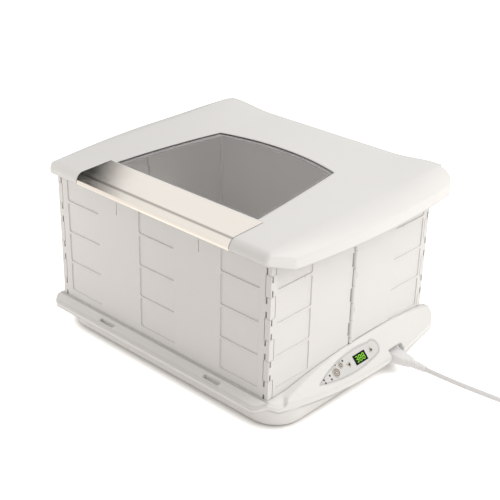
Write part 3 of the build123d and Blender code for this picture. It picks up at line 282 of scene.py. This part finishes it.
moulding, source, result = new_group(
    "moulded_skin",
    (("Place", "Vector", None), ("Colour", "Color", (0.8, 0.8, 0.8, 1)),
     ("Tint", "Color", (0.7, 0.68, 0.65, 1)), ("Drift", "Float", 0.3), ("Grain", "Float", 1400.0),
     ("Roughness", "Float", 0.4), ("Dust", "Float", 0.2)),
    (("Colour", "Color"), ("Roughness", "Float"), ("Height", "Float")))
flow = noise(moulding, source.outputs["Place"], flow_scale, 3.0)
speck = noise(moulding, source.outputs["Place"], speck_scale, 4.0, 0.65)
grain = noise(moulding, source.outputs["Place"], source.outputs["Grain"], 1.0)
facing = moulding.nodes.new("ShaderNodeNewGeometry")
facing_parts = moulding.nodes.new("ShaderNodeSeparateXYZ")
moulding.links.new(facing.outputs["Normal"], facing_parts.inputs[0])
upward_share = maths(moulding, "MAXIMUM", facing_parts.outputs["Z"], 0.0)
dust = maths(moulding, "MULTIPLY", maths(moulding, "MULTIPLY", speck, upward_share), source.outputs["Dust"])
drifted = blend_colour(moulding, maths(moulding, "MULTIPLY", flow, source.outputs["Drift"]),
                       source.outputs["Colour"], source.outputs["Tint"])
dusty = blend_colour(moulding, maths(moulding, "MULTIPLY", dust, dust_cover), drifted, dust_colour)
rough = maths(moulding, "ADD", maths(moulding, "ADD", source.outputs["Roughness"], dust),
              maths(moulding, "MULTIPLY", maths(moulding, "SUBTRACT", flow, 0.5), flow_gloss), clamp=True)
moulding.links.new(dusty, result.inputs["Colour"])
moulding.links.new(rough, result.inputs["Roughness"])
moulding.links.new(grain, result.inputs["Height"])

# Painted shade: slots, steps and seams are darkened towards a dark brown where ambient occlusion finds
# them covered, standing in for the shade that falls in them.
seams, source, result = new_group(
    "seam_shade", (("Reach", "Float", 0.004), ("Open", "Float", 0.5), ("Strength", "Float", 1.0)),
    (("Mask", "Float"),))
hidden = seams.nodes.new("ShaderNodeAmbientOcclusion")
hidden.samples = seam_samples
seams.links.new(source.outputs["Reach"], hidden.inputs["Distance"])
covered = maths(seams, "SUBTRACT", 1.0, hidden.outputs["AO"])
covered = maths(seams, "SUBTRACT", covered, source.outputs["Open"])
covered = maths(seams, "MULTIPLY", covered, source.outputs["Strength"], clamp=True)
seams.links.new(covered, result.inputs["Mask"])


def plastic(name, colour, tint, roughness, grain=1400.0, depth=0.02, drift=0.3, dust=0.15, edge=0.0,
            gloss=0.5, shade=0.0, reach=4.0, shade_free=0.5):
    """Moulded plastic; edge is the radius that its edges are rounded to and reach that of the painted
    shade in its seams, both in millimetres; the last argument is how covered a place may be and still get no
    painted shade."""
    material = bpy.data.materials.new(name)
    material.use_nodes = True
    tree = material.node_tree
    surface = tree.nodes["Principled BSDF"]
    surface.inputs["Specular IOR Level"].default_value = gloss
    place = tree.nodes.new("ShaderNodeTexCoord")
    skin = use_group(tree, moulding, Colour=(*colour, 1), Tint=(*tint, 1), Drift=drift, Grain=grain,
                     Roughness=roughness, Dust=dust)
    bump = shader(tree, "ShaderNodeBump", Strength=depth * 10, Distance=grain_height * mm)
    tree.links.new(place.outputs["Object"], skin.inputs["Place"])
    shaded = skin.outputs["Colour"]
    # Painted shade: the colour is mixed towards the dark shade colour wherever the seam mask finds a place
    # covered.
    if shade:
        seam = use_group(tree, seams, Reach=reach * mm, Strength=shade, Open=shade_free)
        shaded = blend_colour(tree, seam.outputs["Mask"], shaded, painted_shade_colour)
    tree.links.new(shaded, surface.inputs["Base Color"])
    tree.links.new(skin.outputs["Roughness"], surface.inputs["Roughness"])
    tree.links.new(skin.outputs["Height"], bump.inputs["Height"])
    if edge:
        rounding = shader(tree, "ShaderNodeBevel", Radius=edge * mm)
        rounding.samples = edge_samples
        tree.links.new(rounding.outputs[0], bump.inputs["Normal"])
    tree.links.new(bump.outputs[0], surface.inputs["Normal"])
    return material


def finish(material, *names):
    """Put a material on the CAD nodes of these names."""
    for name in names:
        slots = nodes[name].data.materials
        slots.clear()
        slots.append(material)


# ---- Mains cord ------------------------------------------------------------------------------
# A round white lead, 7 mm thick: it leaves its moulded relief level, sags to the table and is
# wound in six turns, three beside each other in two layers, under a black wire tie.
cord_r = 3.5
cord_smoothness = 6
cord_points = [(274.0, 71.7, 23.5), (300, 71.7, 23.5), (330, 75, 22.4), (362, 81.5, 20), (392, 90, 16.5),
               (420, 100, 11.5), (446, 113, 6.5), (470, 128, 3.8)]
lead_points = [(500.0, 226.0, 11.0), (488.0, 255.0, 11.2), (469.5, 279.5, 12.2), (449.0, 300.0, 12.2)]
coil_centre = (472.0, 183.0)
coil_outer_r = 50.6
coil_inner_r = 29.3
coil_end_r = 47.0
coil_low_z = 4.7
coil_high_z = 11.9
coil_entry = -60.0
coil_exit = 20.0
turns_a_layer = 3
points_a_turn = 15
rise_share = 0.35                # of a turn, to climb from the lower layer to the upper
coil_turns = 2 * turns_a_layer + (coil_exit - coil_entry) / 360


def coil_point(turned):
    """Point of the coil after so many turns from its entry."""
    if turned < turns_a_layer:
        reach = coil_outer_r + (coil_inner_r - coil_outer_r) * turned / turns_a_layer
    else:
        share = (turned - turns_a_layer) / (coil_turns - turns_a_layer)
        reach = coil_inner_r + (coil_end_r - coil_inner_r) * share
    climb = min(max((turned - turns_a_layer) / rise_share + 0.5, 0), 1)
    bearing = radians(coil_entry + 360 * turned)
    return (coil_centre[0] + reach * cos(bearing), coil_centre[1] + reach * sin(bearing),
            coil_low_z + (coil_high_z - coil_low_z) * climb * climb * (3 - 2 * climb))


coil_steps = round(coil_turns * points_a_turn)
coil_points = [coil_point(coil_turns * step / coil_steps) for step in range(coil_steps + 1)]
route = cord_points + coil_points + lead_points

line = bpy.data.curves.new("mains_cord", "CURVE")
line.dimensions = "3D"
spline = line.splines.new("NURBS")
spline.points.add(len(route) - 1)
for point, (x, y, z) in zip(spline.points, route):
    point.co = (x * mm, y * mm, z * mm, 1)
spline.order_u = 3
spline.use_endpoint_u = True
spline.resolution_u = cord_smoothness
line.bevel_depth = cord_r * mm
line.bevel_resolution = cord_smoothness
line.use_fill_caps = True
mains_cord = bpy.data.objects.new("mains_cord", line)
scene.collection.objects.link(mains_cord)
cord_white = plastic("cord_white", (0.80, 0.80, 0.81), (0.72, 0.72, 0.73), 0.42, grain=900.0, depth=0.03,
                     dust=0.05)
line.materials.append(cord_white)
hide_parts("power_cord", "cord_coil", "plug_lead")
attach(mains_cord, "connector")

tie_black = plastic("tie_black", (0.02, 0.02, 0.02), (0.05, 0.05, 0.05), 0.5, grain=2500.0)
connector_white = plastic("connector_white", (0.88, 0.88, 0.89), (0.82, 0.82, 0.83), 0.36, grain=900.0,
                          depth=0.03, dust=0.05)
finish(connector_white, "cord_connector", "cord_strain_relief", "mains_plug")
finish(tie_black, "coil_tie")

# ---- White mouldings -------------------------------------------------------------------------
# The base and the lid are the glossiest mouldings, a cool white; the walls are a grained
# polypropylene, a little greyer; the pan under the base is the same plastic, unpolished, on four
# rubber feet.
# Both carry painted shade in their seams, slots and steps, darker on the walls.
shell_white = plastic("shell_white", (0.84, 0.84, 0.83), (0.78, 0.775, 0.76), 0.34, grain=1800.0, depth=0.012,
                      edge=4.0, shade=1.2, reach=2.5, shade_free=0.55)
wall_white = plastic("wall_white", (0.80, 0.795, 0.785), (0.74, 0.73, 0.715), 0.46, grain=1500.0, depth=0.03,
                     edge=0.5, shade=2.0, reach=5.0, shade_free=0.58)
pan_white = plastic("pan_white", (0.74, 0.74, 0.73), (0.66, 0.66, 0.65), 0.55, grain=900.0, depth=0.05)
finish(shell_white, "base_shell", "lid_shell")
finish(wall_white, "front_wall", "rear_wall", "left_front_panel", "left_rear_panel", "right_front_panel",
       "right_rear_panel")
finish(pan_white, "base_pan")
foot_rubber = plastic("foot_rubber", (0.03, 0.03, 0.03), (0.06, 0.06, 0.055), 0.75, grain=700.0, depth=0.08)
finish(foot_rubber, "rubber_feet")

# ---- Steel -----------------------------------------------------------------------------------
# The plate on the lid's front is stainless sheet, brushed along its length. The same brushing,
# with its own lines, serves the aluminium plate and tray, and the drawn wires, pins and screws.
line_shade = 0.12
line_gloss = 0.20
patch_scale = 22.0
patch_gloss = 0.10
line_height = 0.05
brushing, source, result = new_group(
    "brushing",
    (("Place", "Vector", None), ("Colour", "Color", (0.6, 0.6, 0.6, 1)), ("Lines", "Float", 2500.0),
     ("Stretch", "Vector", (0.01, 1.0, 1.0)), ("Roughness", "Float", 0.3)),
    (("Colour", "Color"), ("Roughness", "Float"), ("Height", "Float")))
stretched = brushing.nodes.new("ShaderNodeVectorMath")
stretched.operation = "MULTIPLY"
brushing.links.new(source.outputs["Place"], stretched.inputs[0])
brushing.links.new(source.outputs["Stretch"], stretched.inputs[1])
lines = noise(brushing, stretched.outputs[0], source.outputs["Lines"], 3.0, 0.6)
patches = noise(brushing, source.outputs["Place"], patch_scale)
brushing.links.new(blend_colour(brushing, line_shade, source.outputs["Colour"], lines, "MULTIPLY"),
                   result.inputs["Colour"])
smeared = maths(brushing, "MULTIPLY", maths(brushing, "SUBTRACT", patches, 0.5), patch_gloss)
brushed = maths(brushing, "MULTIPLY", maths(brushing, "SUBTRACT", lines, 0.5), line_gloss)
uneven = maths(brushing, "ADD", smeared, brushed)
brushing.links.new(maths(brushing, "ADD", source.outputs["Roughness"], uneven), result.inputs["Roughness"])
brushing.links.new(lines, result.inputs["Height"])


def metal(name, colour, roughness, lines=2500.0, stretch=(0.012, 1.0, 1.0), depth=0.1):
    """Metal with brushing or draw lines along one axis."""
    material = bpy.data.materials.new(name)
    material.use_nodes = True
    tree = material.node_tree
    surface = tree.nodes["Principled BSDF"]
    surface.inputs["Metallic"].default_value = 1.0
    place = tree.nodes.new("ShaderNodeTexCoord")
    brush = use_group(tree, brushing, Colour=(*colour, 1), Lines=lines, Stretch=stretch, Roughness=roughness)
    bump = shader(tree, "ShaderNodeBump", Strength=depth, Distance=line_height * mm)
    tree.links.new(place.outputs["Object"], brush.inputs["Place"])
    tree.links.new(brush.outputs["Colour"], surface.inputs["Base Color"])
    tree.links.new(brush.outputs["Roughness"], surface.inputs["Roughness"])
    tree.links.new(brush.outputs["Height"], bump.inputs["Height"])
    tree.links.new(bump.outputs[0], surface.inputs["Normal"])
    return material


plate_steel = metal("plate_steel", (0.93, 0.87, 0.795), 0.08, lines=4200.0, depth=0.08)
wire_steel = metal("wire_steel", (0.72, 0.72, 0.72), 0.16, lines=900.0, stretch=(1.0, 0.05, 1.0))
pin_steel = metal("pin_steel", (0.60, 0.60, 0.60), 0.3, lines=2000.0, stretch=(1.0, 1.0, 0.02))
plate_aluminium = metal("plate_aluminium", (0.74, 0.74, 0.75), 0.36)
blade_brass = metal("blade_brass", (0.80, 0.62, 0.32), 0.25)
finish(plate_steel, "lid_trim_plate")
finish(wire_steel, "wire_rack")
finish(pin_steel, "front_corner_pins", "rear_corner_pins", "left_centre_pin", "right_centre_pin",
       "base_screws", "window_screws", "rack_legs")
finish(plate_aluminium, "heater_plate", "water_tray")
finish(blade_brass, "inlet_prongs", "plug_blades")

# ---- Window ----------------------------------------------------------------------------------
# A smoked sheet of polycarbonate bedded in a thin black gasket, with a grey frame screwed up
# under it. Light falls straight through it, so that the chamber below is lit.
gasket_black = plastic("gasket_black", (0.05, 0.05, 0.055), (0.08, 0.08, 0.085), 0.45, grain=900.0)
finish(gasket_black, "window_gasket")
frame_grey = plastic("frame_grey", (0.23, 0.23, 0.25), (0.28, 0.28, 0.30), 0.45, grain=1500.0)
finish(frame_grey, "window_frame")
pane_colour = (0.95, 0.925, 0.90, 1)
pane_clear = 0.965
pane_ior = 1.2
pane_roughness = 0.02
pane_shadow = (0.95, 0.94, 0.93, 1)
pane = bpy.data.materials.new("smoked_pane")
pane.use_nodes = True
tree = pane.node_tree
surface = tree.nodes["Principled BSDF"]
surface.inputs["Base Color"].default_value = pane_colour
surface.inputs["Transmission Weight"].default_value = pane_clear
surface.inputs["IOR"].default_value = pane_ior
surface.inputs["Roughness"].default_value = pane_roughness
through = shader(tree, "ShaderNodeBsdfTransparent", Color=pane_shadow)
path = tree.nodes.new("ShaderNodeLightPath")
tree.links.new(either(tree, path.outputs["Is Shadow Ray"], surface.outputs[0], through.outputs[0]),
               tree.nodes["Material Output"].inputs["Surface"])
finish(pane, "lid_window")

# ---- Control panel ---------------------------------------------------------------------------
# A printed film over the slope, with a black display, its lit numerals, four keys and six
# lamps behind small windows.
digit_colour = (0.10, 0.30, 0.02, 1)
digit_light = (0.24, 0.62, 0.035, 1)
digit_strength = 1.25
digit_gloss = 0.1
# The film and the keys carry painted shade in their seams and round their edges.
film_grey = plastic("film_grey", (0.715, 0.715, 0.705), (0.68, 0.68, 0.67), 0.38, grain=2600.0, depth=0.01,
                    edge=0.3, shade=0.8, reach=1.5)
key_beige = plastic("key_beige", (0.70, 0.65, 0.59), (0.62, 0.57, 0.51), 0.42, grain=2600.0, edge=0.35,
                    shade=1.2, reach=1.5)
key_pale = plastic("key_pale", (0.70, 0.65, 0.58), (0.64, 0.60, 0.54), 0.42, grain=2600.0, edge=0.35,
                   shade=1.2, reach=1.5)
lamp_dark = plastic("lamp_dark", (0.02, 0.018, 0.016), (0.05, 0.05, 0.05), 0.3, grain=2600.0, gloss=0.2)
display_black = plastic("display_black", (0.008, 0.010, 0.006), (0.012, 0.016, 0.01), 0.25, grain=2600.0,
                        depth=0.0, dust=0.0, gloss=0.1)
finish(film_grey, "control_overlay")
finish(key_beige, "power_button", "light_button")
finish(key_pale, "up_button", "down_button")
finish(lamp_dark, "indicator_lamps")
finish(display_black, "display_lens")
lit_green = bpy.data.materials.new("lit_green")
lit_green.use_nodes = True
surface = lit_green.node_tree.nodes["Principled BSDF"]
surface.inputs["Base Color"].default_value = digit_colour
surface.inputs["Specular IOR Level"].default_value = digit_gloss
surface.inputs["Emission Color"].default_value = digit_light
surface.inputs["Emission Strength"].default_value = digit_strength
finish(lit_green, "display_digits")

# ---- Printed signs ---------------------------------------------------------------------------
# Signs on the keys, rims round the lamps and a fine line round the film, all in thin raised ink
# on the slope.
slope_top = Vector((197.8, 0.0, 64.0))
slope_fall = 34.5
slope_run = 30.7
slope_down = Vector((slope_run, 0, -slope_fall)).normalized()
slope_out = Vector((slope_fall, 0, slope_run)).normalized()
ink_roundness = 2


def height_of(node):
    """How far a node's top stands out from the slope, in millimetres."""
    place = nodes[node].matrix_world
    return max((place @ corner.co / mm - slope_top).dot(slope_out) for corner in nodes[node].data.vertices)


def thread(name, lines, width, body, colour):
    """Thin round lines through places in millimetres, each with a closed flag."""
    curve = bpy.data.curves.new(name, "CURVE")
    curve.dimensions = "3D"
    for places, closed in lines:
        stroke = curve.splines.new("POLY")
        stroke.points.add(len(places) - 1)
        for point, place in zip(stroke.points, places):
            point.co = (*(Vector(place) * mm), 1)
        stroke.use_cyclic_u = closed
    curve.bevel_depth = width / 2 * mm
    curve.bevel_resolution = ink_roundness
    curve.use_fill_caps = True
    piece = bpy.data.objects.new(name, curve)
    scene.collection.objects.link(piece)
    bpy.ops.object.select_all(action="DESELECT")
    bpy.context.view_layer.objects.active = piece
    piece.select_set(True)
    bpy.ops.object.convert(target="MESH")
    piece.data.materials.append(colour)
    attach(piece, body)


def ink(name, lines, width, height, body, colour):
    """Lines printed on the slope: each has places along Y and down the slope, and a closed flag."""
    level = slope_top + slope_out * height
    thread(name, [([level + Vector((0, y, 0)) + slope_down * down for y, down in places], closed)
                  for places, closed in lines], width, body, colour)


def arc(centre, radius, start, end, steps=24):
    """Places along a circle on the slope, with bearings in degrees from up the slope."""
    bearings = [radians(start + (end - start) * step / steps) for step in range(steps + 1)]
    return [(centre[0] + radius * sin(turn), centre[1] - radius * cos(turn)) for turn in bearings]


def bend_through(a, b, c, steps=40):
    """Places on the circle through three places, from the first to the last."""
    (ax, ay), (bx, by), (cx, cy) = a, b, c
    twice = 2 * (ax * (by - cy) + bx * (cy - ay) + cx * (ay - by))
    square_a, square_b, square_c = (x * x + y * y for x, y in (a, b, c))
    mid = Vector(((square_a * (by - cy) + square_b * (cy - ay) + square_c * (ay - by)) / twice,
                  (square_a * (cx - bx) + square_b * (ax - cx) + square_c * (bx - ax)) / twice))
    start, through, end = (Vector(point) - mid for point in (a, b, c))
    sweep = start.angle_signed(through) + through.angle_signed(end)
    return [tuple(mid + Matrix.Rotation(-sweep * step / steps, 2) @ start) for step in range(steps + 1)]


ink_brown = plastic("ink_brown", (0.045, 0.030, 0.018), (0.06, 0.045, 0.03), 0.6, grain=3000.0, dust=0.0)
# The black ink also serves below as painted shade in the seams of the steel plate.
ink_and_shade_black = plastic("ink_and_shade_black", (0.004, 0.004, 0.004), (0.008, 0.008, 0.008), 0.6, grain=3000.0, dust=0.0)
ink_grey = plastic("ink_grey", (0.36, 0.36, 0.37), (0.40, 0.40, 0.41), 0.6, grain=3000.0)
full_turn = (0, 345)             # of a closed ring, in degrees
power_place = (-46.6, 24.6)
light_place = (-34.0, 19.2)
up_place = (28.0, 22.6)
down_place = (-19.8, 24.4)
lamp_places = ((-27.8, 15.6), (-59.6, 23.4), (-59.4, 28.8), (-72.2, 24.4), (-71.6, 28.9))
power_ring_r = 4.6
power_arc_r = 2.3
power_arc = (35, 325)
power_stroke = (-3.2, -0.6)
light_ring_r = 1.9
light_rays = (2.7, 3.4)
ray_turn = 45
arrow_sizes = (2.3, 1.6, 0.9, 0.4)
arrow_sink = 0.1
lamp_rim_r = 1.1
power_line, light_line, arrow_line, lamp_line, film_line = 0.85, 0.8, 0.9, 0.7, 0.55
key_height = height_of("power_button")
film_height = height_of("control_overlay")
stroke = [(power_place[0], power_place[1] + end) for end in power_stroke]
ink("power_sign", [(arc(power_place, power_arc_r, *power_arc), False), (stroke, False),
                   (arc(power_place, power_ring_r, *full_turn), True)],
    power_line, key_height, "power_key", ink_brown)
rays = [([arc(light_place, reach, turn, turn, 1)[0] for reach in light_rays], False)
        for turn in range(0, 360, ray_turn)]
ink("light_sign", [(arc(light_place, light_ring_r, *full_turn), True)] + rays, light_line, key_height,
    "light_key", ink_brown)
for name, place, turn in (("up", up_place, 90), ("down", down_place, -90)):
    arrows = [([arc(place, size, turn + side * 120, turn, 1)[0] for side in (0, 1, 2)], True)
              for size in arrow_sizes]
    ink(f"{name}_sign", arrows, arrow_line, height_of(f"{name}_button") - arrow_sink, f"{name}_key",
        ink_and_shade_black)
lamp_rims = [(arc(place, lamp_rim_r, *full_turn), True) for place in lamp_places]
ink("lamp_rims", lamp_rims, lamp_line, film_height, "base", ink_and_shade_black)
leaf_tip, leaf_upper, leaf_shoulder = (-81.0, 26.5), (-24.0, 12.0), (29.0, 12.4)
leaf_end, leaf_heel, leaf_lower = (43.9, 20.7), (38.0, 30.6), (-10.0, 36.0)
rim = (bend_through(leaf_tip, leaf_upper, leaf_shoulder) + bend_through(leaf_shoulder, leaf_end, leaf_heel)
       + bend_through(leaf_heel, leaf_lower, leaf_tip))
ink("film_rim", [(rim, True)], film_line, film_height, "base", ink_grey)

# ---- Seams of the steel plate ----------------------------------------------------------------
# The steel plate is let into the lid, and at both of its ends, up the roll and over the crown, a thin
# black bead is painted shade: it stands in for the hairline of shade in the gap.
plate_end_x = 140.1
plate_rear_y = -114.4
roll_mid = (-163.0, 243.6)
roll_r = 12.4
roll_step = 6
lid_arch = ((-163.0, 256.0), (10.0, 261.3), (184.0, 260.0))
arch_steps = 240
seam_line = 0.5
roll = [(roll_mid[0] - roll_r * cos(radians(turn)), roll_mid[1] + roll_r * sin(radians(turn)))
        for turn in range(0, 90, roll_step)]
over = [place for place in bend_through(*lid_arch, arch_steps) if place[0] <= plate_rear_y]
thread("plate_seam_shade", [([(end * plate_end_x, *place) for place in roll + over], False) for end in (-1, 1)],
       seam_line, "lid", ink_and_shade_black)

# ---- Inside the base -------------------------------------------------------------------------
# Parts that only show with the pan off: two boards and their switches, the heating element with its
# insulation, sensor and cut-out, and the moulded inlet that the connector plugs into.
board_green = plastic("board_green", (0.02, 0.16, 0.06), (0.03, 0.12, 0.05), 0.35, grain=300.0)
black_nylon = plastic("black_nylon", (0.025, 0.025, 0.027), (0.05, 0.05, 0.05), 0.5, grain=1500.0)
wool_cream = plastic("wool_cream", (0.72, 0.69, 0.60), (0.60, 0.57, 0.48), 0.95, grain=260.0, depth=0.6)
finish(board_green, "control_board", "power_board")
finish(black_nylon, "tact_switches", "temperature_sensor", "thermal_cutoff", "heating_element")
finish(wool_cream, "insulation_pad")
inlet_white = plastic("inlet_white", (0.78, 0.78, 0.79), (0.70, 0.70, 0.71), 0.4, grain=1500.0)
finish(inlet_white, "power_inlet")
